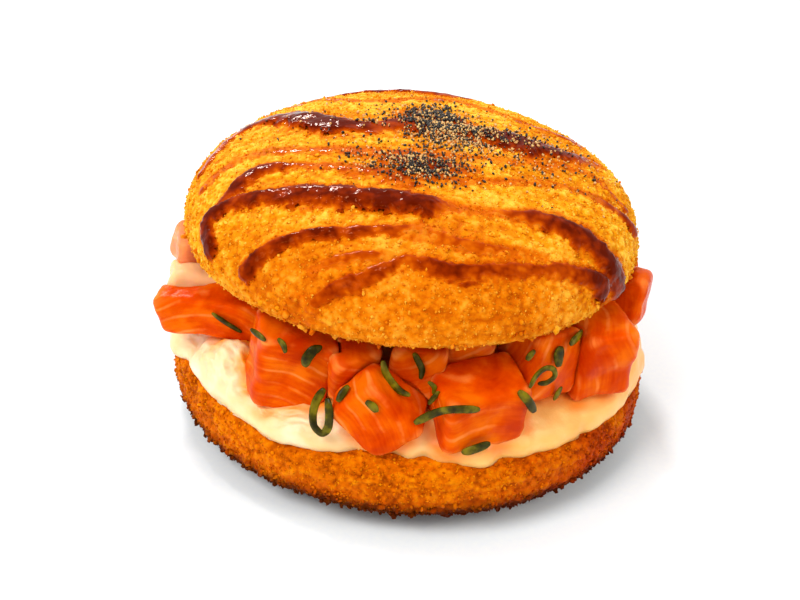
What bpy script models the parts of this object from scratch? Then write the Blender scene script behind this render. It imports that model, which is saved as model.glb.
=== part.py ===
"""Sushi burger: two crumbed, fried rice buns with cream cheese, diced salmon and spring onion between them.

Metres, +Z up. The origin is the middle of the bottom bun's flat base, and the front faces -Y.
"""

import math
import random

import bmesh
import bpy
from mathutils import Euler, Matrix, Vector, noise
from mathutils.bvhtree import BVHTree
from mathutils.kdtree import KDTree

MM = 0.001
GAP = 0.35 * MM  # left between pieces that touch

# The bottom bun: a thick puck of pressed rice, fried flat on its base.
BOTTOM_RADIUS = 51.2 * MM
BOTTOM_HEIGHT = 21.3 * MM
BOTTOM_SQUARENESS = 3.4  # power of the superellipse that the side follows
BASE_RADIUS = 41 * MM  # the part of the base that is flat

# The top bun: a dome with a nearly flat underside.
TOP_X = -1.5 * MM  # it sits a little to the left
TOP_RADIUS = 47.5 * MM
TOP_LEVEL = 43.8 * MM  # height of its widest girth
TOP_RISE = 18.8 * MM
TOP_DROP = 5.6 * MM
DOME_POWER = 2.2
UNDERSIDE_POWER = 3.1

# The crust of breadcrumbs, cut into the buns from their outer shape.
CRUMB_SIZE = 4.2 * MM
CRUST_DEPTH = 0.9 * MM
TOP_BUN_FACES = 3200
BOTTOM_BUN_FACES = 2100

# The sauce: lines drizzled from side to side, as (x, y) seen from above, and each line's width.
SAUCE_THICKNESS = 1.0 * MM
DRIZZLE = (
    (3.4, ((-17, -43.5), (-9, -42), (-2, -38.5), (7, -39.5), (16, -37), (26, -33), (36, -28.5))),
    (3.2, ((-32, -36), (-24, -33), (-11, -32.5), (0, -32), (12, -33.5), (24, -31.5))),
    (
        5.4,
        ((-41.5, -25), (-41, -20), (-32, -20.5), (-20, -22.5), (-4, -24.5), (12, -24), (27, -22), (40, -24)),
    ),
    (3.4, ((-39, -19), (-33, -12), (-20, -12.5), (-6, -15.5), (12, -14.5), (27, -9), (44, -8))),
    (3.0, ((-44, -10), (-36, -4.5), (-20, -6), (0, -7.5), (16, -5), (32, 1), (42, -4))),
    (4.6, ((-46, -2), (-41, 11), (-31, 14), (-18, 3), (-4, 6), (14, 6.5), (24, 6), (38, 10.5))),
    (3.4, ((-35, 24), (-24, 26), (-11, 21), (4, 27), (20, 20), (33, 19))),
    (3.0, ((-28, 35), (-12, 37), (2, 34), (16, 36), (28, 32))),
)

# Poppy seeds, most of them in two heaps near the middle: (x, y, spread, count).
SEED_RADIUS = 0.62 * MM
SEED_HEAPS = ((3, 7, 5.5, 22), (0.5, -12, 4.0, 10), (12, 2, 12, 12))

# The cream cheese spread, over the bottom bun and down its shoulder.
CREAM_THICKNESS = 4.0 * MM
CREAM_FACES = 900
# Height of the spread's lower edge on the bun's side: (degrees round from +X, mm).
LIP = (
    (-180, 13.5), (-166, 13.8), (-157, 16.3), (-128, 16.5), (-120, 16.0), (-113, 16.6), (-98, 18.0),
    (-86, 17.9), (-79, 17.3), (-71, 16.3), (-66, 17.1), (-57, 16.7), (-37, 16.4), (-29, 16.0), (-11, 15.3),
    (10, 16.4), (35, 15.2), (58, 16.8), (80, 15.8), (104, 17.0), (125, 15.4), (150, 16.6), (180, 13.5),
)
# Where the spread is heaped: (x, y, radius, extra height).
CREAM_LUMPS = (
    (-36, -28, 9, 5.5), (-42, -4, 9, 6.0), (44, -14, 9, 6.0), (-30, 34, 10, 3.0), (30, 32, 12, 3.5),
)

# Diced salmon that shows at the front, from the left: middle, size (all mm), then yaw, pitch and roll in degrees.
FRONT_DICE = {
    "salmon_left_back": ((-45.6, -4, 36), (8, 10, 8), (20, 10, 0)),
    "salmon_pale_slice": ((-43.5, -11, 32), (13, 9, 4.5), (8, 8, -6)),
    "salmon_left": ((-38.5, -18.5, 29.2), (24, 10, 8.5), (-8, -4, 4)),
    "salmon_front_left": ((-22.5, -34, 28.5), (14, 12, 17), (10, 8, 3)),
    "salmon_tan": ((-11.5, -36, 30), (9, 9, 12), (30, 0, 10)),
    "salmon_diamond": ((-4.4, -43.6, 26), (14, 9, 11), (-4, 44, 0)),
    "salmon_ringed": ((1.5, -36, 31.5), (9, 8, 11), (0, 10, 0)),
    "salmon_centre": ((13.5, -40, 27), (17, 13, 12.5), (22, -6, 12)),
    "salmon_shaded": ((9, -31.5, 31.5), (13, 9, 10), (8, 0, 0)),
    "salmon_dark": ((24.5, -30, 31), (12, 11, 13), (38, 8, -8)),
    "salmon_right": ((36.5, -24, 31), (12, 12, 15), (26, 0, 8)),
    "salmon_far_right": ((42.8, -12, 37), (8, 9, 10), (70, 12, 0)),
}

# The rest of the ring of dice, made by rule from the right side round the back.
RING_RADIUS = 39 * MM
RING_ANGLES = (7, 28, 49, 70, 91, 112, 133, 154, 172)
DICE_SIZE = (12.5 * MM, 16 * MM)
DICE_BEVEL = 1.2 * MM
DICE_UNEVEN = 1.0 * MM

# The dice under the top bun: one in the middle and a ring round it.
INNER_RING_RADIUS = 21 * MM
INNER_COUNT = 7
INNER_SIZE = 13 * MM
INNER_LEVEL = 34.5 * MM

# Spring onion: the width of each piece and the line that it follows over what is under it (all mm).
ONION = {
    "onion_loop": (
        1.7,
        ((-14.6, -42.6, 29.6), (-15.9, -43.3, 27.4), (-16.4, -44.8, 25), (-15.9, -46, 23), (-14.5, -46.6, 22),
         (-13.1, -46, 23.4), (-12.9, -44.8, 26), (-13.5, -43.6, 28.3)),
    ),
    "onion_pale_curl": (2.2, ((-15.5, -38.4, 36), (-17, -39.5, 36), (-18, -40, 34.5), (-18.5, -40, 32.5))),
    "onion_top_left": (1.6, ((-26.5, -35, 37), (-25, -36, 36.6), (-23.6, -37, 36.2))),
    "onion_top_middle": (1.7, ((-22.2, -37, 36.6), (-21, -38, 36), (-20.6, -39, 35))),
    "onion_small_left": (1.7, ((-10, -42.5, 31.3), (-11, -43.5, 30.2), (-11.7, -44.5, 29))),
    "onion_on_left": (1.2, ((-39, -24, 31.5), (-36.5, -24.5, 30), (-33, -25, 28.2))),
    "onion_arc": (
        1.5,
        ((-4.4, -39.5, 36), (-4, -40, 34.2), (-2.5, -41, 32.4), (-0.6, -42, 31), (1, -42.2, 30.6)),
    ),
    "onion_arc_right": (1.3, ((1, -40, 36.6), (2, -40.5, 35), (2.8, -40.6, 33.2), (2.6, -41, 31.6))),
    "onion_curl": (1.1, ((3.9, -42, 32.8), (5.2, -42, 31.8), (5, -42, 30.2))),
    "onion_strip": (
        1.8,
        ((2, -47.5, 26.6), (4.2, -47.3, 28.2), (6.5, -47.5, 29.8), (9.5, -48.4, 31.2), (13.5, -47.2, 30.6)),
    ),
    "onion_fork": (1.2, ((4.4, -44, 28.4), (5.2, -44, 30), (6, -44.2, 31.6))),
    "onion_low": (2.1, ((11.5, -47.5, 19.9), (13.5, -47.6, 21), (16.5, -46.4, 21.8))),
    "onion_corner": (1.8, ((20.5, -43.5, 32.5), (22.5, -43.5, 30.5), (24.2, -42, 27))),
    "onion_ring": (
        1.1,
        ((22.4, -41.8, 32.4), (23.5, -40, 33.8), (25.4, -38.4, 34.8), (27.2, -37.6, 34), (27.6, -37.5, 32.4),
         (26.2, -38, 31.2), (24.4, -38.8, 31.4)),
    ),
    "onion_bright": (3.0, ((29.4, -35, 36.6), (29.2, -35.8, 34.8), (29.4, -36.5, 33))),
    "onion_shaded": (2.2, ((31.2, -28, 36.6), (30.4, -31, 37), (29.6, -33, 37))),
    "onion_under": (1.5, ((29.6, -34.8, 28), (29, -35, 26.4), (28.6, -35, 25))),
    "onion_behind": (1.8, ((21.6, -34, 37), (20.8, -34.6, 36.2), (20.4, -35, 35.4))),
    "onion_speck": (2.0, ((-7, -48.8, 31), (-5.6, -49, 30.2), (-5, -49, 29))),
    "onion_side": (1.7, ((48, 7, 34), (49, 4, 31), (49, 3, 28))),
    "onion_back": (1.7, ((12, 47, 33), (8, 48, 30), (5, 48, 29))),
    "onion_back_left": (1.7, ((-24, 42, 34), (-26, 42, 30), (-24, 42, 27))),
    "onion_back_right": (1.7, ((30, 37, 34), (32, 37, 30), (30, 37, 27))),
}
ONION_THICKNESS = 0.65 * MM
ONION_SIDES = 6  # corners of a strip's section
ONION_STEP = 1.3 * MM
ONION_REACH = 0.6 * MM  # a piece lies at most this far from what carries it
LAYING_START = 3 * MM  # how far out of its line a piece starts when it is laid
LAYING_SLOPE = 0.6  # rise over run of the way it is laid along

COLOURS = {
    "Fried crumb": ((0.80, 0.34, 0.04, 1), 0.6),
    "Dark fried crumb": ((0.62, 0.22, 0.02, 1), 0.6),
    "Cream cheese": ((0.95, 0.80, 0.50, 1), 0.4),
    "Raw salmon": ((0.85, 0.16, 0.02, 1), 0.3),
    "Spring onion": ((0.12, 0.16, 0.01, 1), 0.35),
}


def clear_scene():
    for obj in list(bpy.data.objects):
        bpy.data.objects.remove(obj)


def new_collection(name, helper=False):
    collection = bpy.data.collections.new(name)
    bpy.context.scene.collection.children.link(collection)
    collection.hide_render = helper
    return collection


def material(name):
    """The Principled material of this name, made the first time it is asked for."""
    found = bpy.data.materials.get(name)
    if found:
        return found
    colour, roughness = COLOURS[name]
    made = bpy.data.materials.new(name)
    made.use_nodes = True
    shader = made.node_tree.nodes["Principled BSDF"]
    shader.inputs["Base Color"].default_value = colour
    shader.inputs["Roughness"].default_value = roughness
    shader.inputs["Metallic"].default_value = 0.0
    made.diffuse_color = colour
    return made


def mesh_object(name, bm, collection, material_name=None):
    """An object of this mesh. A cutter has no material, is drawn as wire and is left out of renders."""
    mesh = bpy.data.meshes.new(name)
    bm.to_mesh(mesh)
    bm.free()
    obj = bpy.data.objects.new(name, mesh)
    collection.objects.link(obj)
    if material_name:
        mesh.materials.append(material(material_name))
    else:
        obj.hide_render = True
        obj.display_type = "WIRE"
    return obj


def apply_modifiers(obj):
    """Gives the object the mesh that its modifiers make, keeping only its largest body."""
    graph = bpy.context.evaluated_depsgraph_get()
    made = bpy.data.meshes.new_from_object(obj.evaluated_get(graph))
    obj.modifiers.clear()
    bm = bmesh.new()
    bm.from_mesh(made)
    drop_scraps(bm)
    bm.to_mesh(made)
    bm.free()
    made.name = obj.name
    obj.data = made


def drop_scraps(bm):
    """Deletes every body of the mesh but the one with the most faces."""
    left = set(bm.faces)
    bodies = []
    while left:
        body, edge_of_search = set(), [left.pop()]
        while edge_of_search:
            face = edge_of_search.pop()
            body.add(face)
            beside = {f for e in face.edges for f in e.link_faces} & left
            left -= beside
            edge_of_search.extend(beside)
        bodies.append(body)
    bodies.sort(key=len)
    for body in bodies[:-1]:
        bmesh.ops.delete(bm, geom=list(body), context="FACES")


def cut_away(piece, cutters):
    """Takes the cutters' shapes out of the piece, one after another."""
    for cutter in cutters:
        modifier = piece.modifiers.new("Clear of " + cutter.name, "BOOLEAN")
        modifier.object = cutter
        modifier.operation = "DIFFERENCE"
        modifier.solver = "EXACT"
        apply_modifiers(piece)


def boxes_meet(a, b):
    """True if the two objects' bounding boxes share space. Both objects sit at the origin, unturned."""
    low_a, high_a = bounds(a)
    low_b, high_b = bounds(b)
    return all(low_a[i] < high_b[i] and low_b[i] < high_a[i] for i in range(3))


def bounds(obj):
    corners = [Vector(c) for c in obj.bound_box]
    return [min(c[i] for c in corners) for i in range(3)], [max(c[i] for c in corners) for i in range(3)]


def bun_point(direction, x, radius, level, rise, drop, rise_power, drop_power):
    """Where a bun's skin lies for a point on the unit ball: one form above its widest level, another below."""
    height, power = (rise, rise_power) if direction.z > 0 else (-drop, drop_power)
    reach = radius * math.hypot(direction.x, direction.y) ** (2 / power)
    around = math.atan2(direction.y, direction.x)
    lift = height * abs(direction.z) ** (2 / power)
    return Vector((x + reach * math.cos(around), reach * math.sin(around), level + lift))


def top_bun_point(direction):
    return bun_point(direction, TOP_X, TOP_RADIUS, TOP_LEVEL, TOP_RISE, TOP_DROP, DOME_POWER, UNDERSIDE_POWER)


def bottom_bun_point(direction):
    half = BOTTOM_HEIGHT / 2
    return bun_point(direction, 0, BOTTOM_RADIUS, half, half, half, BOTTOM_SQUARENESS, BOTTOM_SQUARENESS)


def bun_mesh(point_of, subdivisions):
    """A bun's smooth outer shape, as a bmesh."""
    bm = bmesh.new()
    bmesh.ops.create_icosphere(bm, subdivisions=subdivisions, radius=1)
    for v in bm.verts:
        v.co = point_of(v.co.normalized())
    bm.normal_update()
    return bm


def bun_cutter(name, point_of, by, collection):
    """A bun's outer shape moved out all over, to keep the filling clear of it."""
    bm = bun_mesh(point_of, 4)
    for v in bm.verts:
        v.co += v.normal * by
    return mesh_object(name, bm, collection)


def smooth_line(points, step):
    """Points about a step apart on a Catmull-Rom curve through these points."""
    points = [Vector(p) for p in points]
    ends = [2 * points[0] - points[1], *points, 2 * points[-1] - points[-2]]
    line = []
    for a, b, c, d in zip(ends, ends[1:], ends[2:], ends[3:]):
        count = max(1, round((c - b).length / step))
        for i in range(count):
            t = i / count
            bend = (2 * a - 5 * b + 4 * c - d) * t**2 + (3 * b - a - 3 * c + d) * t**3
            line.append((2 * b + (c - a) * t + bend) / 2)
    return [*line, points[-1]]


def dome_height(x, y):
    """Height of the top bun's outer shape over a place seen from above."""
    out = min(1.0, math.hypot(x - TOP_X, y) / TOP_RADIUS)
    return TOP_LEVEL + TOP_RISE * (1 - out**DOME_POWER) ** (1 / DOME_POWER)


def sauce_lines():
    """A search tree of places along the drizzled lines, on the dome, and the half width of the line at each."""
    places, half_widths = [], []
    for width, route in DRIZZLE:
        for x, y in smooth_line(route, 1.0):
            places.append(Vector((x * MM, y * MM, dome_height(x * MM, y * MM))))
            swell = 1 + 0.28 * noise.noise(Vector((x, y, 0)) * 0.16)
            half_widths.append(width * MM / 2 * swell)
    tree = KDTree(len(places))
    for i, place in enumerate(places):
        tree.insert(place, i)
    tree.balance()
    return tree, half_widths


def crumb_height(point, size):
    """0 between breadcrumbs, up to 1 on top of one. Each cell of this size holds one crumb of its own height."""
    distances, centres = noise.voronoi(point / size)
    own = 0.5 + 0.5 * noise.noise(centres[0] * 3.7)
    return own * max(0.0, 1 - (distances[0] / 0.75) ** 2)


def make_top_bun(collection, cutters):
    """The dome with its crumbs and sauce in relief, then the seeds fused to it."""
    tree, half_widths = sauce_lines()
    bm = bun_mesh(top_bun_point, 6)
    moves = []
    for v in bm.verts:
        lumps = noise.noise(v.co / (17 * MM)) * 0.9 * MM
        crumbs = -CRUST_DEPTH * (1 - crumb_height(v.co, CRUMB_SIZE))
        depth = crumbs + min(0.0, lumps)
        _, i, away = tree.find(v.co)
        if v.co.z > TOP_LEVEL + 1 * MM and away < half_widths[i]:
            cover = (1 - (away / half_widths[i]) ** 2) ** 0.5
            depth = max(depth, SAUCE_THICKNESS * cover - 0.45 * MM)
        moves.append((v, v.co + v.normal * depth))
    for v, place in moves:
        v.co = place
    bun = mesh_object("bun_top", bm, collection, "Fried crumb")
    thin = bun.modifiers.new("Fewer faces", "DECIMATE")
    thin.ratio = TOP_BUN_FACES / len(bun.data.polygons)
    apply_modifiers(bun)
    fuse_seeds(bun, cutters)
    return bun


def fuse_seeds(bun, cutters):
    """Half sinks poppy seeds in the bun's top and joins them to it."""
    surface = BVHTree.FromObject(bun, bpy.context.evaluated_depsgraph_get())
    draw = random.Random(4)
    seeds = bpy.data.collections.new("Seeds")
    cutters.children.link(seeds)
    placed = []
    for x, y, spread, count in SEED_HEAPS:
        left = count
        while left:
            above = Vector((draw.gauss(x, spread * 0.6) * MM, draw.gauss(y, spread * 0.6) * MM, 90 * MM))
            if any((above - other).length < 2.6 * SEED_RADIUS for other in placed):
                continue
            placed.append(above)
            left -= 1
            place, normal, _, _ = surface.ray_cast(above, Vector((0, 0, -1)))
            bm = bmesh.new()
            bmesh.ops.create_icosphere(bm, subdivisions=1, radius=SEED_RADIUS)
            turn = Euler([draw.uniform(0, math.pi) for _ in range(3)]).to_matrix()
            lifted = Matrix.Translation(place + normal * 0.1 * MM) @ turn.to_4x4()
            bmesh.ops.transform(bm, matrix=lifted, verts=bm.verts)
            mesh_object("Seed", bm, seeds)
    union = bun.modifiers.new("Seeds", "BOOLEAN")
    union.operand_type = "COLLECTION"
    union.collection = seeds
    union.operation = "UNION"
    union.solver = "EXACT"
    apply_modifiers(bun)
    for seed in list(seeds.objects):
        bpy.data.objects.remove(seed)
    bpy.data.collections.remove(seeds)


def make_bottom_bun(collection):
    """The puck, crumbed on its side and flat and dark underneath."""
    bm = bun_mesh(bottom_bun_point, 6)
    moves = []
    for v in bm.verts:
        out = math.hypot(v.co.x, v.co.y)
        on_top = v.co.z > BOTTOM_HEIGHT - 1 * MM
        ragged = 1 + 0.7 * max(0.0, 1 - v.co.z / (5 * MM))
        depth = 0.0 if on_top else -CRUST_DEPTH * ragged * (1 - crumb_height(v.co, CRUMB_SIZE))
        depth += min(0.0, noise.noise(v.co / (14 * MM))) * 0.9 * MM
        place = v.co + v.normal * (depth - (0.5 * MM if on_top else 0))
        if out < BASE_RADIUS and v.co.z < BOTTOM_HEIGHT / 2:
            place.z = 0
        place.z = max(place.z, 0)
        moves.append((v, place))
    for v, place in moves:
        v.co = place
    bun = mesh_object("bun_bottom", bm, collection, "Dark fried crumb")
    thin = bun.modifiers.new("Fewer faces", "DECIMATE")
    thin.ratio = BOTTOM_BUN_FACES / len(bun.data.polygons)
    apply_modifiers(bun)
    return bun


def lip_level(around):
    """Height of the spread's lower edge at this angle round the burger."""
    degrees = math.degrees(around)
    for (start, low), (end, high) in zip(LIP, LIP[1:]):
        if degrees <= end:
            share = (degrees - start) / (end - start)
            ease = share * share * (3 - 2 * share)
            return (low + (high - low) * ease) * MM
    return LIP[-1][1] * MM


def cream_thickness(x, y):
    """Thickness of the spread over a place seen from above, and how much higher it is heaped there."""
    thick = CREAM_THICKNESS + 0.9 * MM * noise.noise(Vector((x, y, 0)) / (9 * MM))
    heap = 0.0
    for lump_x, lump_y, radius, extra in CREAM_LUMPS:
        away = math.hypot(x - lump_x * MM, y - lump_y * MM) / (radius * MM)
        heap += extra * MM * math.exp(-2 * away**2)
    return thick, heap


def make_cream(collection, dice_cutters):
    """The spread: its underside follows the bottom bun, and its top swells and rounds off at the lip."""
    bm = bmesh.new()
    bmesh.ops.create_icosphere(bm, subdivisions=6, radius=1)
    half = BOTTOM_HEIGHT / 2
    for v in bm.verts:
        direction = v.co.normalized()
        around = math.atan2(direction.y, direction.x)
        share = min(1.0, math.hypot(direction.x, direction.y))
        lip_rise = ((lip_level(around) - half) / half) ** (BOTTOM_SQUARENESS / 2)
        lip_angle = math.asin(max(0.05, min(1.0, lip_rise)))
        angle = math.pi / 2 - share * (math.pi / 2 - lip_angle)
        sideways = Vector((math.cos(around), math.sin(around), 0))
        under = bottom_bun_point(sideways * math.cos(angle) + Vector((0, 0, math.sin(angle))))
        reach = math.hypot(under.x, under.y) / BOTTOM_RADIUS
        rise = (under.z - half) / half
        bend = BOTTOM_SQUARENESS - 1
        slope = Vector((reach**bend / BOTTOM_RADIUS, rise**bend / half)).normalized()
        out = sideways * slope.x + Vector((0, 0, slope.y))
        v.co = under + out * GAP
        if direction.z > 0:
            thick, heap = cream_thickness(under.x, under.y)
            rounding = max(0.0, 1 - share**9) ** 0.5
            v.co += (out * thick * (1 - 0.35 * slope.x) + Vector((0, 0, heap))) * rounding
    bmesh.ops.remove_doubles(bm, verts=bm.verts, dist=0.02 * MM)
    cream = mesh_object("cream_cheese", bm, collection, "Cream cheese")
    thin = cream.modifiers.new("Fewer faces", "DECIMATE")
    thin.ratio = CREAM_FACES / len(cream.data.polygons)
    apply_modifiers(cream)
    cut_away(cream, [cutter for cutter in dice_cutters if boxes_meet(cream, cutter)])
    return cream


def dice_meshes(middle, size, turn, segments, draw):
    """One die of fish, a box with uneven corners and softened edges, and the hollow it leaves in the spread."""
    bm = bmesh.new()
    bmesh.ops.create_cube(bm, size=1)
    for v in bm.verts:
        v.co = Vector(v.co[i] * size[i] + draw.uniform(-1, 1) * DICE_UNEVEN for i in range(3))
    bmesh.ops.transform(bm, matrix=Matrix.Translation(middle) @ turn.to_matrix().to_4x4(), verts=bm.verts)
    bmesh.ops.recalc_face_normals(bm, faces=bm.faces)
    hollow = bm.copy()
    moves = [(v, v.co + v.normal * GAP * v.calc_shell_factor()) for v in hollow.verts]
    for v, place in moves:
        v.co = place
    bmesh.ops.triangulate(hollow, faces=hollow.faces)
    bmesh.ops.bevel(bm, geom=bm.edges[:], offset=DICE_BEVEL, segments=segments, profile=0.5, affect="EDGES")
    bmesh.ops.triangulate(bm, faces=bm.faces)
    return bm, hollow


def euler_of(yaw, pitch, roll):
    return Euler((math.radians(roll), math.radians(pitch), math.radians(yaw)), "XYZ")


def dice_plan():
    """Name, middle, size and turn of every die, the ones that show first."""
    plan = [
        (name, Vector(middle) * MM, Vector(size) * MM, euler_of(*turn))
        for name, (middle, size, turn) in FRONT_DICE.items()
    ]
    draw = random.Random(11)
    for number, degrees in enumerate(RING_ANGLES, 1):
        around = math.radians(degrees + draw.uniform(-3, 3))
        reach = RING_RADIUS + draw.uniform(-1, 2) * MM
        size = Vector(draw.uniform(*DICE_SIZE) for _ in range(3))
        middle = Vector((reach * math.cos(around), reach * math.sin(around), 24 * MM + size.z / 2 * 0.8))
        turn = euler_of(degrees + draw.uniform(-25, 25), draw.uniform(-12, 12), draw.uniform(-12, 12))
        plan.append((f"salmon_ring_{number}", middle, size, turn))
    for number in range(INNER_COUNT):
        around = 2 * math.pi * number / (INNER_COUNT - 1)
        reach = INNER_RING_RADIUS if number else 0
        middle = Vector((reach * math.cos(around), reach * math.sin(around), INNER_LEVEL))
        turn = euler_of(math.degrees(around) + draw.uniform(-15, 15), 0, 0)
        plan.append((f"salmon_inner_{number + 1}", middle, Vector((1.2, 1.1, 1.0)) * INNER_SIZE, turn))
    return plan


def make_dice(collection, cutters, bun_cutters):
    """The salmon: each die is trimmed where it would run into the buns or a die laid before it."""
    draw = random.Random(7)
    hollows = []
    for name, middle, size, turn in dice_plan():
        die_mesh, hollow_mesh = dice_meshes(middle, size, turn, 2 if name in FRONT_DICE else 1, draw)
        die = mesh_object(name, die_mesh, collection, "Raw salmon")
        bpy.context.view_layer.update()
        cut_away(die, [cutter for cutter in [*bun_cutters, *hollows] if boxes_meet(die, cutter)])
        hollows.append(mesh_object(name + " hollow", hollow_mesh, cutters))
    return hollows


def onion_line(points, thickness, surfaces):
    """The line laid from outside and above onto the first thing under it, and then evened out."""
    line = smooth_line([Vector(p) * MM for p in points], ONION_STEP)
    ways = [(Vector((p.x, p.y, 0)).normalized() + Vector((0, 0, LAYING_SLOPE))).normalized() for p in line]
    starts = [point + way * LAYING_START for point, way in zip(line, ways)]
    depths = []
    for start, way in zip(starts, ways):
        hits = [tree.ray_cast(start, -way)[3] for tree in surfaces]
        depths.append(min(hit for hit in [LAYING_START, *hits] if hit is not None))
    nearest = [min(depths[max(0, i - 1):i + 2]) for i in range(len(line))]
    for _ in range(3):
        nearest = [
            (nearest[max(0, i - 1)] + nearest[i] + nearest[min(i + 1, len(line) - 1)]) / 3 for i in range(len(line))
        ]
    return [start - way * (depth - thickness / 2 - GAP) for start, way, depth in zip(starts, ways, nearest)]


def strip_mesh(line, width, thickness):
    """A ribbon with rounded edges swept along the line, its flat side facing out from the burger."""
    bm = bmesh.new()
    rings = []
    for i, place in enumerate(line):
        along = (line[min(i + 1, len(line) - 1)] - line[max(i - 1, 0)]).normalized()
        out = Vector((place.x, place.y, 0)).normalized()
        out = (out - along * out.dot(along)).normalized()
        side = along.cross(out)
        narrow = 0.55 if i in (0, len(line) - 1) else 1.0
        ring = []
        for corner in range(ONION_SIDES):
            angle = 2 * math.pi * (corner + 0.5) / ONION_SIDES
            flat = out * math.sin(angle) * thickness / 2 + side * math.cos(angle) * width / 2
            ring.append(bm.verts.new(place + flat * narrow))
        rings.append(ring)
    for ring, after in zip(rings, rings[1:]):
        for corner in range(ONION_SIDES):
            beside = (corner + 1) % ONION_SIDES
            bm.faces.new((ring[corner], ring[beside], after[beside], after[corner]))
    bm.faces.new(rings[0][::-1])
    bm.faces.new(rings[-1])
    bmesh.ops.triangulate(bm, faces=bm.faces)
    bmesh.ops.recalc_face_normals(bm, faces=bm.faces)
    return bm


def make_onion(collection, surfaces):
    """The strips and loops of spring onion, laid on the dice and the spread.

    A piece that hangs free is moved in until it nearly touches, and one that runs into something is drawn out.
    """
    for name, (width, points) in ONION.items():
        width *= MM
        thickness = min(width, ONION_THICKNESS)
        bm = strip_mesh(onion_line(points, thickness, surfaces), width, thickness)
        middle = sum((v.co for v in bm.verts), Vector()) / len(bm.verts)
        outwards = Vector((middle.x, middle.y, 0)).normalized()
        while not any(within(bm, tree, ONION_REACH) for tree in surfaces):
            bmesh.ops.translate(bm, verts=bm.verts, vec=-outwards * 0.15 * MM)
        while any(too_near(bm, tree) for tree in surfaces):
            bmesh.ops.translate(bm, verts=bm.verts, vec=outwards * 0.15 * MM)
        surfaces.append(BVHTree.FromBMesh(bm))
        mesh_object(name, bm, collection, "Spring onion")


def too_near(bm, tree):
    """True if the mesh runs into the other surface, or a corner of it comes within the gap of that surface."""
    return bool(BVHTree.FromBMesh(bm).overlap(tree)) or within(bm, tree, GAP)


def within(bm, tree, distance):
    """True if a corner of the mesh lies within this distance of the other surface."""
    return any(tree.find_nearest(v.co, distance)[0] is not None for v in bm.verts)


def surface_of(obj):
    return BVHTree.FromObject(obj, bpy.context.evaluated_depsgraph_get())


def main():
    clear_scene()
    parts = new_collection("Sushi burger")
    cutters = new_collection("Cutters", helper=True)
    top_cutter = bun_cutter("Top bun grown", top_bun_point, 0.6 * MM, cutters)
    bottom_cutter = bun_cutter("Bottom bun grown", bottom_bun_point, 0.6 * MM, cutters)
    bpy.context.view_layer.update()
    dice_hollows = make_dice(parts, cutters, [top_cutter, bottom_cutter])
    make_cream(parts, dice_hollows)
    make_bottom_bun(parts)
    make_top_bun(parts, cutters)
    bpy.context.view_layer.update()
    make_onion(parts, [surface_of(obj) for obj in parts.objects])


main()
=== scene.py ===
"""The looks of a sushi burger: two fried rice buns with cream cheese, salmon dice and spring onion."""
import math
import random

import bmesh
import bpy
import numpy as np
from mathutils import Euler, Matrix, Vector, noise
from mathutils.bvhtree import BVHTree
from mathutils.kdtree import KDTree


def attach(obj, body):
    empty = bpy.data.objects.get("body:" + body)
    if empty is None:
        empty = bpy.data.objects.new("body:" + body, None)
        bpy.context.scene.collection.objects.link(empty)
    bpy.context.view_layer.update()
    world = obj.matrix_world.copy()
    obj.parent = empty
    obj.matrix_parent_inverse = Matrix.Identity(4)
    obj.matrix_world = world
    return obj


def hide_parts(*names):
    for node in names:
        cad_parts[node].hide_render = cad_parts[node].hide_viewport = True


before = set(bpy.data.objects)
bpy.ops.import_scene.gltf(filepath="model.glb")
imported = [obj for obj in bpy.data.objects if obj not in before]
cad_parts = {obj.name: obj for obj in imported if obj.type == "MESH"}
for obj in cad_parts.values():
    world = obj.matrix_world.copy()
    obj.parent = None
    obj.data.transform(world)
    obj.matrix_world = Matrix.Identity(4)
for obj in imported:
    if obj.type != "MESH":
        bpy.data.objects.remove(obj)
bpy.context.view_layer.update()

# The table and the light.
# The burger stands on a white table in a white room. A soft lamp stands in front on the left, a weak one on
# the right, and two small ones behind and overhead give the glints. A camera looks down on the front.
MM = 0.001
TABLE_SIZE = 6000 * MM
VIEW_HEIGHT = 30.5  # degrees above level
VIEW_DISTANCE = 300 * MM
VIEW_TARGET = Vector((0, 0, 30 * MM))
VIEW_TILT = -4.6  # degrees that the camera leans to one side
FOCAL_PIXELS = 1403
FRAME_WIDTH = 800
FRAME_HEIGHT = 600
MIDDLE_X, MIDDLE_Y = 415, 275  # where the target lies in the frame, in pixels
ROOM_COLOUR = "#FFFBF4"
LAMPS = (
    # from (degrees round, degrees up), width, height, watts, colour
    (-157, 36, 300 * MM, 90 * MM, 6.0, "#FFFDF8"),
    (-44, 48, 560 * MM, 480 * MM, 9.2, "#FFFCF6"),
    (60, 40, 380 * MM, 380 * MM, 3.3, "#FFFAF0"),
    (-120, 75, 75 * MM, 75 * MM, 1.3, "#FFFDF8"),
)
LAMP_DISTANCE = 1200 * MM
ROOM_BRIGHTNESS = 0.7


def rgb(hex_colour):
    """Linear RGBA of an sRGB hex colour."""
    parts = [int(hex_colour[i:i + 2], 16) / 255 for i in (1, 3, 5)]
    return (*(c / 12.92 if c <= 0.04045 else ((c + 0.055) / 1.055) ** 2.4 for c in parts), 1)


def add_node(tree, kind, links=None, **settings):
    """Adds a node. Settings are its properties or, as in_0 or in_Scale, inputs' values; links feed inputs."""
    node = tree.nodes.new(kind)
    for name, value in settings.items():
        if name.startswith("in_"):
            key = name[3:].replace("_", " ")
            node.inputs[int(key) if key.isdigit() else key].default_value = value
        else:
            setattr(node, name, value)
    for key, socket in (links or {}).items():
        tree.links.new(socket, node.inputs[key])
    return node


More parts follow.
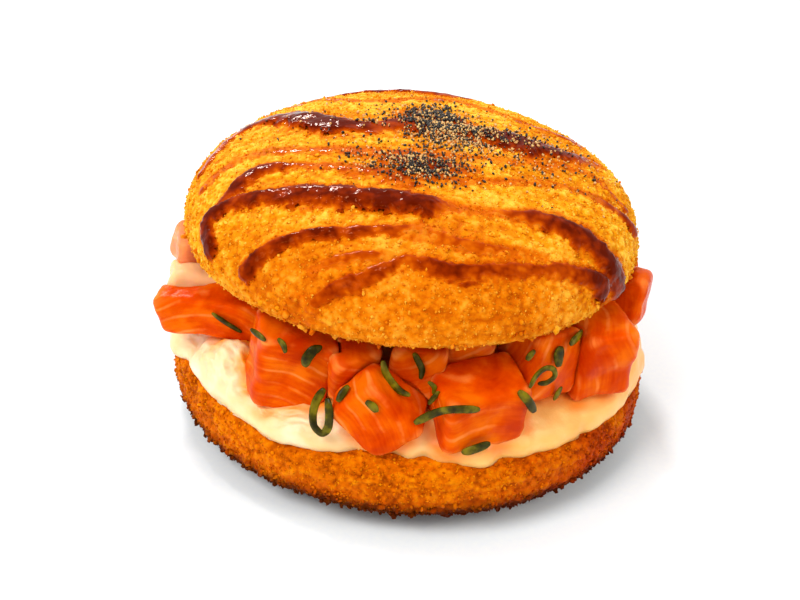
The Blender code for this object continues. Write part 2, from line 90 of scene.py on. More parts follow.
def new_material(name):
    """A material, its node tree, its Principled shader and a socket of Object coordinates in millimetres."""
    material = bpy.data.materials.new(name)
    material.use_nodes = True
    tree = material.node_tree
    shader = tree.nodes["Principled BSDF"]
    place = add_node(tree, "ShaderNodeTexCoord").outputs["Object"]
    in_mm = add_node(tree, "ShaderNodeMapping", {"Vector": place}, in_Scale=(1 / MM, 1 / MM, 1 / MM))
    return material, tree, shader, in_mm.outputs["Vector"]


def colour_ramp(tree, value, stops):
    """The colour output of a ramp through (position, hex colour) stops."""
    ramp = add_node(tree, "ShaderNodeValToRGB", {"Fac": value})
    while len(ramp.color_ramp.elements) < len(stops):
        ramp.color_ramp.elements.new(0.5)
    for element, (position, colour) in zip(ramp.color_ramp.elements, stops):
        element.position = position
        element.color = rgb(colour)
    return ramp.outputs["Color"]


def object_of(bm, name, material):
    """A smooth-shaded object of this mesh with this material, in the scene."""
    mesh = bpy.data.meshes.new(name)
    for face in bm.faces:
        face.smooth = True
    bm.to_mesh(mesh)
    bm.free()
    mesh.materials.append(material)
    piece = bpy.data.objects.new(name, mesh)
    bpy.context.scene.collection.objects.link(piece)
    return piece


camera_data = bpy.data.cameras.new("camera")
camera_data.lens = FOCAL_PIXELS / FRAME_WIDTH * camera_data.sensor_width
camera_data.clip_start = 10 * MM
camera_data.shift_x = (FRAME_WIDTH / 2 - MIDDLE_X) / FRAME_WIDTH
camera_data.shift_y = (MIDDLE_Y - FRAME_HEIGHT / 2) / FRAME_WIDTH
camera = bpy.data.objects.new("camera", camera_data)
view_way = Vector((0, math.cos(math.radians(VIEW_HEIGHT)), -math.sin(math.radians(VIEW_HEIGHT))))
upright = view_way.to_track_quat("-Z", "Y").to_matrix()
lean = Matrix.Rotation(math.radians(-VIEW_TILT), 3, "Z")
camera.matrix_world = Matrix.Translation(VIEW_TARGET - view_way * VIEW_DISTANCE) @ (upright @ lean).to_4x4()
bpy.context.scene.collection.objects.link(camera)
bpy.context.scene.camera = camera

# Matt white paper, which gives a plain pale ground with a faint soft shadow.
table_material, table_tree, table_shader, table_place = new_material("matt white paper")
table_grain = add_node(table_tree, "ShaderNodeTexNoise", {"Vector": table_place}, in_Scale=0.8, in_Detail=4)
table_colour = colour_ramp(table_tree, table_grain.outputs["Fac"], ((0.3, "#EFF6FF"), (0.7, "#F3F9FF")))
table_tree.links.new(table_colour, table_shader.inputs["Base Color"])
table_shader.inputs["Roughness"].default_value = 0.9
table_mesh = bmesh.new()
bmesh.ops.create_grid(table_mesh, x_segments=2, y_segments=2, size=TABLE_SIZE / 2)
table = object_of(table_mesh, "table", table_material)

for number, (lamp_round, lamp_up, lamp_width, lamp_height, lamp_power, lamp_colour) in enumerate(LAMPS, 1):
    lamp_data = bpy.data.lights.new(f"lamp_{number}", "AREA")
    lamp_data.shape = "RECTANGLE"
    lamp_data.size = lamp_width
    lamp_data.size_y = lamp_height
    lamp_data.energy = lamp_power
    lamp_data.color = rgb(lamp_colour)[:3]
    lamp = bpy.data.objects.new(lamp_data.name, lamp_data)
    flat = math.cos(math.radians(lamp_up))
    lamp_way = Vector((math.sin(math.radians(lamp_round)) * flat, -math.cos(math.radians(lamp_round)) * flat,
                       math.sin(math.radians(lamp_up))))
    lamp.location = VIEW_TARGET + lamp_way * LAMP_DISTANCE
    lamp.rotation_euler = (-lamp_way).to_track_quat("-Z", "Y").to_euler()
    bpy.context.scene.collection.objects.link(lamp)

room = bpy.data.worlds.new("white room")
room.use_nodes = True
room_light = room.node_tree.nodes["Background"]
room_light.inputs["Color"].default_value = rgb(ROOM_COLOUR)
room_light.inputs["Strength"].default_value = ROOM_BRIGHTNESS
bpy.context.scene.world = room
bpy.context.scene.view_settings.view_transform = "Standard"

# The bottom bun.
# A puck of pressed rice, rolled in breadcrumbs and fried, so it is all crust: deep golden crumbs, nearly
# black along the base where they lay in the pan. The core carries the relief, and loose crumbs stick to it.
BOTTOM_RADIUS = 51.2 * MM
BOTTOM_HEIGHT = 21.3 * MM
BOTTOM_SQUARENESS = 3.4
BASE_RADIUS = 41 * MM
CRUST_ROOM = 1.3 * MM  # how far inside the solid's outline the dips of the crust lie
CRUST_RELIEF = 1.5 * MM  # from the dips to the tops of the core's lumps
BROAD_LUMP = 13 * MM
CRUMB_CLUSTER = 3.1 * MM
COARSE_CRUMB = 2.3 * MM
FINE_CRUMB = 1.3 * MM
PAINTED_SHADE_RIGHT_OF = 12 * MM  # painted shade: the crust is darkened right of this
BROWNED_BELOW = 9.5 * MM


def bun_point(direction, x, radius, level, rise, drop, rise_power, drop_power):
    """Where a bun's skin lies for a point on the unit ball: a dome above its widest level, a side below.

    A power of 2 gives it the section of an ellipse, and a higher one a squarer section.
    """
    height, power = (rise, rise_power) if direction.z > 0 else (-drop, drop_power)
    reach = radius * math.hypot(direction.x, direction.y) ** (2 / power)
    around = math.atan2(direction.y, direction.x)
    lift = height * abs(direction.z) ** (2 / power)
    return Vector((x + reach * math.cos(around), reach * math.sin(around), level + lift))


def bottom_bun_point(direction):
    """Where the bottom bun's skin lies for a point on the unit ball."""
    half = BOTTOM_HEIGHT / 2
    return bun_point(direction, 0, BOTTOM_RADIUS, half, half, half, BOTTOM_SQUARENESS, BOTTOM_SQUARENESS)


def clamped(value):
    """The value, kept between 0 and 1."""
    return max(0.0, min(1.0, value))


def crumb_lumps(point):
    """Relief of the crust, from 0 in the dips to 1: broad lumps, and round crumbs of two sizes over them."""
    broad = 0.5 + 0.5 * noise.noise(point / BROAD_LUMP)
    cluster = 0.5 + 0.5 * noise.noise(point / CRUMB_CLUSTER)
    coarse = max(0.0, 1 - noise.voronoi(point / COARSE_CRUMB)[0][0] ** 2 * 2.2)
    fine = max(0.0, 1 - noise.voronoi(point / FINE_CRUMB)[0][0] ** 2 * 2.2)
    return 0.35 * broad + 0.25 * cluster + 0.22 * coarse + 0.18 * fine


def finer_ball(low, high):
    """A unit ball of triangles, four times finer between these two levels."""
    bm = bmesh.new()
    bmesh.ops.create_icosphere(bm, subdivisions=6, radius=1)
    edges = [edge for edge in bm.edges if all(low < v.co.z < high for v in edge.verts)]
    bmesh.ops.subdivide_edges(bm, edges=edges, cuts=3, use_grid_fill=True)
    bmesh.ops.triangulate(bm, faces=[face for face in bm.faces if len(face.verts) > 3])
    for v in bm.verts:
        v.co.normalize()
    return bm


def base_browning_and_right_shade(point):
    """How much darker the bottom crust is at a point, in patches: painted shade on the right, and deeper
    browning along the base.
    """
    # The right side is painted darker, as shade.
    right = clamped((point.x - PAINTED_SHADE_RIGHT_OF) / (34 * MM))
    base = clamped((BROWNED_BELOW - point.z) / (6 * MM))
    patch = clamped(0.55 + 0.9 * noise.noise(point / (7 * MM)))
    return clamped((0.75 * right + 0.6 * base) * patch)


bottom_mesh = finer_ball(-0.72, 0.33)
for v in bottom_mesh.verts:
    v.co = bottom_bun_point(v.co)
bottom_mesh.normal_update()
bottom_relief = []
for v in bottom_mesh.verts:
    relief = crumb_lumps(v.co)
    bottom_relief.append(relief)
    spot = v.co + v.normal * (relief * CRUST_RELIEF - CRUST_ROOM)
    if math.hypot(v.co.x, v.co.y) < BASE_RADIUS and v.co.z < BOTTOM_HEIGHT / 2:
        spot.z = 0
    v.co = Vector((spot.x, spot.y, max(spot.z, 0)))

# Breadcrumb fried golden brown. It is dry and rough; its colour is painted paler on the tips and darker in
# the dips between them as painted shade, and light passes a little way into it, which warms the shade between
# crumbs.
PATCH_SCALE = 0.08  # patches of one shade are about 12 mm wide
GRAIN_SCALE = 0.9  # grains of one shade are about 1 mm wide
PIT_SCALE = 2.4  # pits in a crumb are about 0.4 mm wide


def mixed(tree, share, first, second, blend="MIX"):
    """The colour output of a Mix node. Share, first and second are sockets, numbers or hex colours."""
    mix = add_node(tree, "ShaderNodeMix", data_type="RGBA", blend_type=blend)
    for key, value in (("Factor", share), ("A", first), ("B", second)):
        socket = next(s for s in mix.inputs if s.name == key and s.enabled)
        if isinstance(value, str):
            socket.default_value = rgb(value)
        elif isinstance(value, (int, float)):
            socket.default_value = value
        else:
            tree.links.new(value, socket)
    return next(s for s in mix.outputs if s.enabled)


def crumb_material(name, pale, golden, brown, deep_below, burnt_below):
    """Fried breadcrumb in three shades, painted darker in the dips as shade, darker and then burnt below two
    levels in millimetres, and darkened by an attribute of stains and painted shade.
    """
    material, tree, shader, place = new_material(name)
    relief = add_node(tree, "ShaderNodeAttribute", attribute_name="relief").outputs["Fac"]
    patches = add_node(tree, "ShaderNodeTexNoise", {"Vector": place}, in_Scale=PATCH_SCALE, in_Detail=4,
                       in_Roughness=0.7)
    grains = add_node(tree, "ShaderNodeTexNoise", {"Vector": place}, in_Scale=GRAIN_SCALE, in_Detail=4)
    mottled = add_node(tree, "ShaderNodeMath", {0: patches.outputs["Fac"], 1: grains.outputs["Fac"]},
                       operation="ADD")
    # Painted shade: the dips of the crust's relief take the darker colours, and its tips the paler ones.
    painted_shade_and_mottle = add_node(tree, "ShaderNodeMath", {0: relief, 1: mottled.outputs[0]}, operation="ADD")
    share = add_node(tree, "ShaderNodeMath", {0: painted_shade_and_mottle.outputs[0]}, operation="DIVIDE", in_1=3)
    colour = colour_ramp(tree, share.outputs[0], ((0.38, brown), (0.49, golden), (0.6, pale)))
    height = add_node(tree, "ShaderNodeSeparateXYZ", {"Vector": place}).outputs["Z"]
    # Darker below a level in millimetres: deeper browning along the bottom bun's base, and painted shade
    # under the top bun's dome.
    deep = add_node(tree, "ShaderNodeMapRange", {"Value": height}, in_From_Min=deep_below,
                    in_From_Max=deep_below - 12)
    colour = mixed(tree, deep.outputs["Result"], colour, "#E8A468", "MULTIPLY")
    wavy = add_node(tree, "ShaderNodeMath", {0: grains.outputs["Fac"], 2: height}, operation="MULTIPLY_ADD",
                    in_1=-4)
    burnt = add_node(tree, "ShaderNodeMapRange", {"Value": wavy.outputs[0]}, in_From_Min=burnt_below,
                     in_From_Max=burnt_below - 3, in_To_Max=0.95)
    colour = mixed(tree, burnt.outputs["Result"], colour, "#461A02")
    # This attribute holds real stains and, on parts of the buns, painted shade.
    stain = add_node(tree, "ShaderNodeAttribute", attribute_name="stain").outputs["Fac"]
    stained = colour_ramp(tree, stain, ((0.0, "#FFFFFF"), (0.5, "#E6AC60"), (1.0, "#A25E22")))
    colour = mixed(tree, 1.0, colour, stained, "MULTIPLY")
    tree.links.new(colour, shader.inputs["Base Color"])
    gloss = add_node(tree, "ShaderNodeMapRange", {"Value": stain}, in_From_Min=0.5, in_To_Min=0.7,
                     in_To_Max=0.3)
    tree.links.new(gloss.outputs["Result"], shader.inputs["Roughness"])
    shader.inputs["Specular IOR Level"].default_value = 0.08
    shader.inputs["Specular Tint"].default_value = rgb("#FFB060")
    shader.inputs["Subsurface Weight"].default_value = 0.15
    shader.inputs["Subsurface Radius"].default_value = (1.0, 0.4, 0.02)
    shader.inputs["Subsurface Scale"].default_value = 0.8 * MM
    pits = add_node(tree, "ShaderNodeTexNoise", {"Vector": place}, in_Scale=PIT_SCALE, in_Detail=4,
                    in_Roughness=0.65)
    bump = add_node(tree, "ShaderNodeBump", {"Height": pits.outputs["Fac"]}, in_Strength=0.5,
                    in_Distance=0.3 * MM)
    tree.links.new(bump.outputs["Normal"], shader.inputs["Normal"])
    return material


def add_values(piece, name, values):
    """Gives the piece's mesh one number at each of its vertices."""
    piece.data.attributes.new(name, "FLOAT", "POINT").data.foreach_set("value", values)


bottom_crumb = crumb_material("deep fried breadcrumb", "#E48604", "#D06400", "#983E00", deep_below=13,
                              burnt_below=7.8)
bottom_core = object_of(bottom_mesh, "bun_bottom_crust", bottom_crumb)
add_values(bottom_core, "relief", bottom_relief)
# Its darkening holds the browning along the base and the painted shade on the right.
add_values(bottom_core, "stain", [base_browning_and_right_shade(v.co) for v in bottom_core.data.vertices])
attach(bottom_core, "root")
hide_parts("bun_bottom")


def crumb_template(draw, fine):
    """One crumb as an angular flake about 1 across, with 8 faces if it is fine and 20 if it is coarse."""
    bm = bmesh.new()
    if fine:
        bmesh.ops.create_uvsphere(bm, u_segments=4, v_segments=2, radius=0.5)
    else:
        bmesh.ops.create_icosphere(bm, subdivisions=1, radius=0.5)
    stretch = Vector((draw.uniform(0.85, 1.35), draw.uniform(0.65, 1.05), draw.uniform(0.5, 0.85)))
    for v in bm.verts:
        v.co = Vector(c * s for c, s in zip(v.co, stretch)) * draw.uniform(0.68, 1.2)
    corners = np.array([v.co[:] for v in bm.verts])
    faces = np.array([[v.index for v in face.verts] for face in bm.faces])
    bm.free()
    return corners, faces


SMALL_SHARE = 1.8  # the higher, the more of the crumbs are near the smallest size
crumb_draw = random.Random(3)
fine_crumb_shapes = [crumb_template(crumb_draw, True) for _ in range(24)]
crumb_shapes = [crumb_template(crumb_draw, False) for _ in range(24)]


def crumb_piece(name, material, shapes, places, sizes, seed, stains=None):
    """One mesh of crumbs, turned at random, at these (place, normal) pairs, each with its own darkening of
    stain and painted shade.
    """
    draw = random.Random(seed)
    corner_rows, face_rows, stain_rows, relief_rows = [], [], [], []
    start = 0
    for index, (place, normal) in enumerate(places):
        corners, faces = draw.choice(shapes)
        size = sizes[0] + (sizes[1] - sizes[0]) * draw.random() ** SMALL_SHARE
        turn = Euler([draw.uniform(0, 2 * math.pi) for _ in range(3)]).to_matrix()
        centre = place + normal * size * draw.uniform(0.05, 0.3)
        corner_rows.append(corners @ np.array(turn).T * size + np.array(centre))
        face_rows.append(faces + start)
        start += len(corners)
        stain_rows.append(np.full(len(corners), stains[index] if stains else 0.0))
        relief_rows.append(np.full(len(corners), draw.uniform(0.25, 0.88)))
    corners = np.concatenate(corner_rows)
    faces = np.concatenate(face_rows)
    mesh = bpy.data.meshes.new(name)
    mesh.vertices.add(len(corners))
    mesh.vertices.foreach_set("co", corners.ravel())
    mesh.loops.add(faces.size)
    mesh.loops.foreach_set("vertex_index", faces.ravel())
    mesh.polygons.add(len(faces))
    mesh.polygons.foreach_set("loop_start", np.arange(0, faces.size, 3))
    mesh.update(calc_edges=True)
    mesh.shade_smooth()
    mesh.materials.append(material)
    piece = bpy.data.objects.new(name, mesh)
    bpy.context.scene.collection.objects.link(piece)
    add_values(piece, "stain", np.concatenate(stain_rows))
    add_values(piece, "relief", np.concatenate(relief_rows))
    return piece


def spots_on(core, count, seed, allowed):
    """Places and normals spread at random over the faces of a core, where allowed(place) is true."""
    draw = random.Random(seed)
    faces = core.data.polygons
    areas = np.empty(len(faces))
    faces.foreach_get("area", areas)
    reach = np.cumsum(areas)
    spots = []
    while len(spots) < count:
        face = faces[int(np.searchsorted(reach, draw.random() * reach[-1]))]
        a, b, c = (core.data.vertices[i].co for i in face.vertices[:3])
        s, t = draw.random(), draw.random()
        if s + t > 1:
            s, t = 1 - s, 1 - t
        place = a + (b - a) * s + (c - a) * t
        if allowed(place):
            spots.append((place, face.normal.copy()))
    return spots


def on_bottom_side(place):
    """Whether a place is on the bun's side, under the spread and clear of the table."""
    out = math.hypot(place.x, place.y)
    return 0.7 * MM < place.z < 18.5 * MM and out > BASE_RADIUS


def along_base(place):
    """Whether a place is in the band that burnt in the pan."""
    return 3 * MM < place.z < 9 * MM


BOTTOM_CRUMBS = (
    # piece, shapes, count, where, seed, smallest, largest
    ("bun_bottom_fine_crumbs", fine_crumb_shapes, 16000, on_bottom_side, 21, 0.3 * MM, 0.7 * MM),
    ("bun_bottom_coarse_crumbs", crumb_shapes, 1500, on_bottom_side, 23, 0.5 * MM, 1.1 * MM),
    ("bun_bottom_burnt_crumbs", crumb_shapes, 900, along_base, 25, 0.7 * MM, 1.7 * MM),
)
for name, shapes, count, where, seed, smallest, largest in BOTTOM_CRUMBS:
    spots = spots_on(bottom_core, count, seed, where)
    # Each crumb is darkened like the crust where it lies, painted shade on the right included.
    stains = [base_browning_and_right_shade(place) for place, _ in spots]
    piece = crumb_piece(name, bottom_crumb, shapes, spots, (smallest, largest), seed + 1, stains)
    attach(piece, "root")

# The cream cheese.
# Full-fat cream cheese spread thick with a knife. It hangs over the bun's shoulder in a soft rounded lip, and
# stands in heaps where the knife left it.
CREAM_THICKNESS = 4.0 * MM
CREAM_SINK = 0.6 * MM  # how far its underside lies inside the bun's outline
LIP_SHARPNESS = 9  # the higher, the more sudden the spread ends
LIP_WAVE = 0.35 * MM
LIP_WAVES = 14  # how often the edge waves, per radian
SHOULDER_THINNING = 0.35
CREASED_LEFT_OF = -8 * MM  # the knife left the spread creased here, and above this level
CREASED_ABOVE = 18 * MM
LIP = (
    # the lower edge's height at angles round the burger, in degrees and millimetres
    (-180, 13.5), (-166, 13.8), (-157, 16.3), (-128, 16.5), (-120, 16.0), (-113, 16.6), (-98, 18.0),
    (-86, 17.9), (-79, 17.3), (-71, 16.3), (-66, 17.1), (-57, 16.7), (-37, 16.4), (-29, 16.0), (-11, 15.3),
    (10, 16.4), (35, 15.2), (58, 16.8), (80, 15.8), (104, 17.0), (125, 15.4), (150, 16.6), (180, 13.5),
)
CREAM_HEAPS = (
    # x, y, radius, extra height, in millimetres
    (-36, -28, 9, 5.5),
    (-42, -4, 9, 6.0),
    (44, -14, 9, 6.0),
    (-30, 34, 10, 3.0),
    (30, 32, 12, 3.5),
)


def lip_level(around):
    """Height of the spread's lower edge at this angle round the burger."""
    degrees = math.degrees(around)
    for (start, low), (end, high) in zip(LIP, LIP[1:]):
        if degrees <= end:
            share = (degrees - start) / (end - start)
            ease = share * share * (3 - 2 * share)
            return (low + (high - low) * ease) * MM
    return LIP[-1][1] * MM


def cream_thickness(x, y):
    """Thickness of the spread over a place seen from above, and how much higher it is heaped there."""
    thick = CREAM_THICKNESS + 0.9 * MM * noise.noise(Vector((x, y, 0)) / (9 * MM))
    heap = 0.0
    for heap_x, heap_y, radius, extra in CREAM_HEAPS:
        away = math.hypot(x - heap_x * MM, y - heap_y * MM) / (radius * MM)
        heap += extra * MM * math.exp(-2 * away**2)
    return thick, heap


cream_mesh = bmesh.new()
bmesh.ops.create_icosphere(cream_mesh, subdivisions=7, radius=1)
for v in cream_mesh.verts:
    direction = v.co.normalized()
    around = math.atan2(direction.y, direction.x)
    share = min(1.0, math.hypot(direction.x, direction.y))
    half = BOTTOM_HEIGHT / 2
    way = Vector((math.cos(around), math.sin(around), 0))
    lip = lip_level(around) + LIP_WAVE * noise.noise(way * LIP_WAVES)
    lip_angle = math.asin(((lip - half) / half) ** (BOTTOM_SQUARENESS / 2))
    angle = math.pi / 2 - share * (math.pi / 2 - lip_angle)
    under = bottom_bun_point(Vector((math.cos(angle) * math.cos(around), math.cos(angle) * math.sin(around),
                                     math.sin(angle))))
    reach = math.hypot(under.x, under.y) / BOTTOM_RADIUS
    rise = (under.z - half) / half
    slope = Vector((reach ** (BOTTOM_SQUARENESS - 1) / BOTTOM_RADIUS, rise ** (BOTTOM_SQUARENESS - 1) / half))
    slope.normalize()
    out = Vector((slope.x * math.cos(around), slope.x * math.sin(around), slope.y))
    v.co = under - out * CREAM_SINK
    if direction.z > 0:
        thick, heap = cream_thickness(under.x, under.y)
        rounding = max(0.0, 1 - share**LIP_SHARPNESS) ** 0.5
        layer = out * (thick + CREAM_SINK) * (1 - SHOULDER_THINNING * slope.x)
        v.co += (layer + Vector((0, 0, heap))) * rounding
cream_mesh.normal_update()
for v in cream_mesh.verts:
    stiff = clamped((CREASED_LEFT_OF - v.co.x) / (14 * MM))
    stiff *= clamped((v.co.z - CREASED_ABOVE) / (3 * MM))
    folds = 0.35 * noise.noise(v.co / (4.5 * MM)) + 0.12 * noise.noise(v.co / (1.8 * MM))
    creases = 0.5 - 2.2 * abs(noise.noise(v.co / (4.2 * MM))) - 1.0 * abs(noise.noise(v.co / (1.9 * MM)))
    v.co += v.normal * (folds + 0.75 * stiff * creases) * MM

OIL_REACH = 3.2 * MM  # from the dice, over which the spread is tinted orange, partly by fish oil and partly as painted light thrown by the fish
salmon_corners, salmon_faces = [], []
for node in sorted(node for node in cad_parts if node.startswith("salmon_")):
    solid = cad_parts[node].data
    salmon_faces.extend([i + len(salmon_corners) for i in face.vertices] for face in solid.polygons)
    salmon_corners.extend(v.co.copy() for v in solid.vertices)
salmon_surface = BVHTree.FromPolygons(salmon_corners, salmon_faces)
cream_oil_and_reflected_light = []
for v in cream_mesh.verts:
    place, _, _, away = salmon_surface.find_nearest(v.co, OIL_REACH)
    patch = clamped(0.7 + 1.1 * noise.noise(v.co / (5 * MM)))
    cream_oil_and_reflected_light.append(clamped(1.5 - 1.5 * away / OIL_REACH) * patch if place else 0.0)

# Cream cheese: moist and smooth, with a soft sheen and a milky depth. Round the dice it is tinted orange,
# partly by fish oil and partly as painted light thrown by the fish; towards the right it is warmer, partly
# oil and partly painted warm light.
cream_material, cream_tree, cream_shader, cream_place = new_material("soft cream cheese")
cream_patches = add_node(cream_tree, "ShaderNodeTexNoise", {"Vector": cream_place}, in_Scale=0.11,
                         in_Detail=3)
cream_colour = colour_ramp(cream_tree, cream_patches.outputs["Fac"],
                           ((0.35, "#F8D094"), (0.5, "#FCDCAC"), (0.65, "#FFEACA")))
cream_side = add_node(cream_tree, "ShaderNodeSeparateXYZ", {"Vector": cream_place}).outputs["X"]
# Warmer towards the right: partly fish oil, partly painted warm light.
cream_oil_and_warm_light = add_node(cream_tree, "ShaderNodeMapRange", {"Value": cream_side}, in_From_Min=-30,
                      in_From_Max=14)
cream_colour = mixed(cream_tree, cream_oil_and_warm_light.outputs["Result"], cream_colour, "#FFD48C", "MULTIPLY")
# Orange near the dice: partly fish oil, partly painted light thrown by the fish.
cream_oil_and_reflected_light_share = add_node(cream_tree, "ShaderNodeAttribute", attribute_name="oil_and_reflected_light").outputs["Fac"]
cream_colour = mixed(cream_tree, cream_oil_and_reflected_light_share, cream_colour, "#FFB41C", "MULTIPLY")
cream_tree.links.new(cream_colour, cream_shader.inputs["Base Color"])
cream_shader.inputs["Roughness"].default_value = 0.38
cream_shader.inputs["Subsurface Weight"].default_value = 0.5
cream_shader.inputs["Subsurface Radius"].default_value = (1.0, 0.6, 0.3)
cream_shader.inputs["Subsurface Scale"].default_value = 2.5 * MM
cream_curds = add_node(cream_tree, "ShaderNodeTexNoise", {"Vector": cream_place}, in_Scale=1.1, in_Detail=5)
cream_bump = add_node(cream_tree, "ShaderNodeBump", {"Height": cream_curds.outputs["Fac"]}, in_Strength=0.35,
                      in_Distance=0.3 * MM)
cream_tree.links.new(cream_bump.outputs["Normal"], cream_shader.inputs["Normal"])
cream = object_of(cream_mesh, "cream_cheese_spread", cream_material)
add_values(cream, "oil_and_reflected_light", cream_oil_and_reflected_light)
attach(cream, "root")
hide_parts("cream_cheese")

# The salmon.
# Raw salmon cut into dice with a knife, so the edges are soft and the faces a little uneven. Pale lines of
# fat run through it in shallow arcs, fine fibres run along them, and it is wet all over.
FAT_SPACING = 3.4  # millimetres between two lines of fat
FIBRE_SPACING = 0.9
ALONG_FIBRES = 0.12  # scale of the fibres' pattern along them, per millimetre
WAVE_PERIOD = math.pi / 10  # of a Wave texture at scale 1

# Raw fish: a wet sheen over flesh that light passes into, deep orange with pale lines, and its cut edges
# painted paler, partly a film of fat and partly a painted highlight.
salmon_material, salmon_tree, salmon_shader, _ = new_material("raw salmon flesh")
grain = add_node(salmon_tree, "ShaderNodeAttribute", attribute_name="grain").outputs["Vector"]
salmon_lines = add_node(salmon_tree, "ShaderNodeTexWave", {"Vector": grain}, wave_type="BANDS",
                        bands_direction="X", in_Scale=WAVE_PERIOD / FAT_SPACING, in_Distortion=2.4,
                        in_Detail=3, in_Detail_Scale=0.8)
salmon_sharp = add_node(salmon_tree, "ShaderNodeMapRange", {"Value": salmon_lines.outputs["Fac"]},
                        in_From_Min=0.86, in_From_Max=1.0)
salmon_patches = add_node(salmon_tree, "ShaderNodeTexNoise", {"Vector": grain}, in_Scale=0.14, in_Detail=4)
salmon_fading = add_node(salmon_tree, "ShaderNodeMapRange", {"Value": salmon_patches.outputs["Fac"]},
                         in_From_Min=0.46, in_From_Max=0.66, in_To_Max=0.38)
salmon_fat = add_node(salmon_tree, "ShaderNodeMath",
                      {0: salmon_sharp.outputs[0], 1: salmon_fading.outputs[0]}, operation="MULTIPLY")
stretched = add_node(salmon_tree, "ShaderNodeMapping", {"Vector": grain},
                     in_Scale=(1 / FIBRE_SPACING, ALONG_FIBRES, ALONG_FIBRES))
salmon_fibres = add_node(salmon_tree, "ShaderNodeTexNoise", {"Vector": stretched.outputs["Vector"]},
                         in_Scale=1, in_Detail=3)
salmon_mottled = add_node(salmon_tree, "ShaderNodeMath",
                          {0: salmon_fibres.outputs["Fac"], 2: salmon_patches.outputs["Fac"]},
                          operation="MULTIPLY_ADD", in_1=0.35)
salmon_share = add_node(salmon_tree, "ShaderNodeMath", {0: salmon_mottled.outputs[0]}, operation="DIVIDE",
                        in_1=1.35)
salmon_flesh = colour_ramp(salmon_tree, salmon_share.outputs[0],
                           ((0.36, "#C03200"), (0.49, "#D64800"), (0.62, "#E66604")))
salmon_colour = mixed(salmon_tree, salmon_fat.outputs[0], salmon_flesh, "#FFA858")
salmon_edge = add_node(salmon_tree, "ShaderNodeAttribute", attribute_name="edge").outputs["Fac"]
salmon_broken = add_node(salmon_tree, "ShaderNodeMapRange", {"Value": salmon_fibres.outputs["Fac"]},
                         in_From_Min=0.38, in_From_Max=0.62, in_To_Min=0.2, in_To_Max=0.9)
salmon_fat_and_highlight_edge = add_node(salmon_tree, "ShaderNodeMath", {0: salmon_edge, 1: salmon_broken.outputs[0]},
                      operation="MULTIPLY")
# Paler cut edges: partly a film of fat, partly a painted highlight.
salmon_colour = mixed(salmon_tree, salmon_fat_and_highlight_edge.outputs[0], salmon_colour, "#FFA24C")
salmon_pale = add_node(salmon_tree, "ShaderNodeAttribute", attribute_name="paleness").outputs["Fac"]
salmon_colour = mixed(salmon_tree, salmon_pale, salmon_colour, "#FFDCA4")
salmon_tree.links.new(salmon_colour, salmon_shader.inputs["Base Color"])
salmon_shader.inputs["Roughness"].default_value = 0.22
salmon_shader.inputs["IOR"].default_value = 1.12
salmon_shader.inputs["Specular Tint"].default_value = rgb("#FF9048")
salmon_shader.inputs["Subsurface Weight"].default_value = 0.25
salmon_shader.inputs["Subsurface Radius"].default_value = (1.0, 0.4, 0.02)
salmon_shader.inputs["Subsurface Scale"].default_value = 1.6 * MM
salmon_relief = add_node(salmon_tree, "ShaderNodeTexNoise", {"Vector": grain}, in_Scale=0.8, in_Detail=4)
salmon_rough = add_node(salmon_tree, "ShaderNodeMath",
                        {0: salmon_fibres.outputs["Fac"], 2: salmon_relief.outputs["Fac"]},
                        operation="MULTIPLY_ADD", in_1=0.4)
salmon_bump = add_node(salmon_tree, "ShaderNodeBump", {"Height": salmon_rough.outputs[0]}, in_Strength=0.45,
                       in_Distance=0.3 * MM)
salmon_tree.links.new(salmon_bump.outputs["Normal"], salmon_shader.inputs["Normal"])

DICE_VOXEL = 0.5 * MM
HIDDEN_DICE_VOXEL = 1.0 * MM
BLUNTING = 8  # times that a die is smoothed
MORE_BLUNTING = 24  # times more, to find its edges
EDGE_FROM, EDGE_OVER = 0.16, 0.2  # millimetres that the second blunting moves an edge, which is painted paler as fat and highlight
FLESH_SWELL = 0.25  # millimetres that the flesh stands outside the blunted die
FAT_ARC = 0.03  # how strongly a line of fat bends, per millimetre
GRAIN_WAYS = {
    # the direction across the lines of fat, for dice whose lines show in the photo
    "salmon_left": (0.1, 0.6, 1),
    "salmon_front_left": (0.35, 0.3, 1),
    "salmon_centre": (0.2, -0.5, 1),
    "salmon_diamond": (1, 0.2, 0.6),
    "salmon_right": (1, 0.1, 0.25),
}
PALENESS = {"salmon_pale_slice": 0.72, "salmon_left_back": 0.22}  # the other dice have none


def merged_copy(node):
    """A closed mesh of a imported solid, whose own mesh is loose triangles."""
    bm = bmesh.new()
    bm.from_mesh(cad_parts[node].data)
    bmesh.ops.remove_doubles(bm, verts=bm.verts, dist=0.02 * MM)
    return bm


def finished_mesh(piece):
    """Gives the piece the mesh that its modifiers make."""
    graph = bpy.context.evaluated_depsgraph_get()
    mesh = bpy.data.meshes.new_from_object(piece.evaluated_get(graph))
    piece.modifiers.clear()
    piece.data = mesh


def blunt(piece, times):
    """Smooths the piece's mesh this many times, so that its edges are blunted."""
    smoother = piece.modifiers.new("smoother", "SMOOTH")
    smoother.factor = 0.5
    smoother.iterations = times
    finished_mesh(piece)


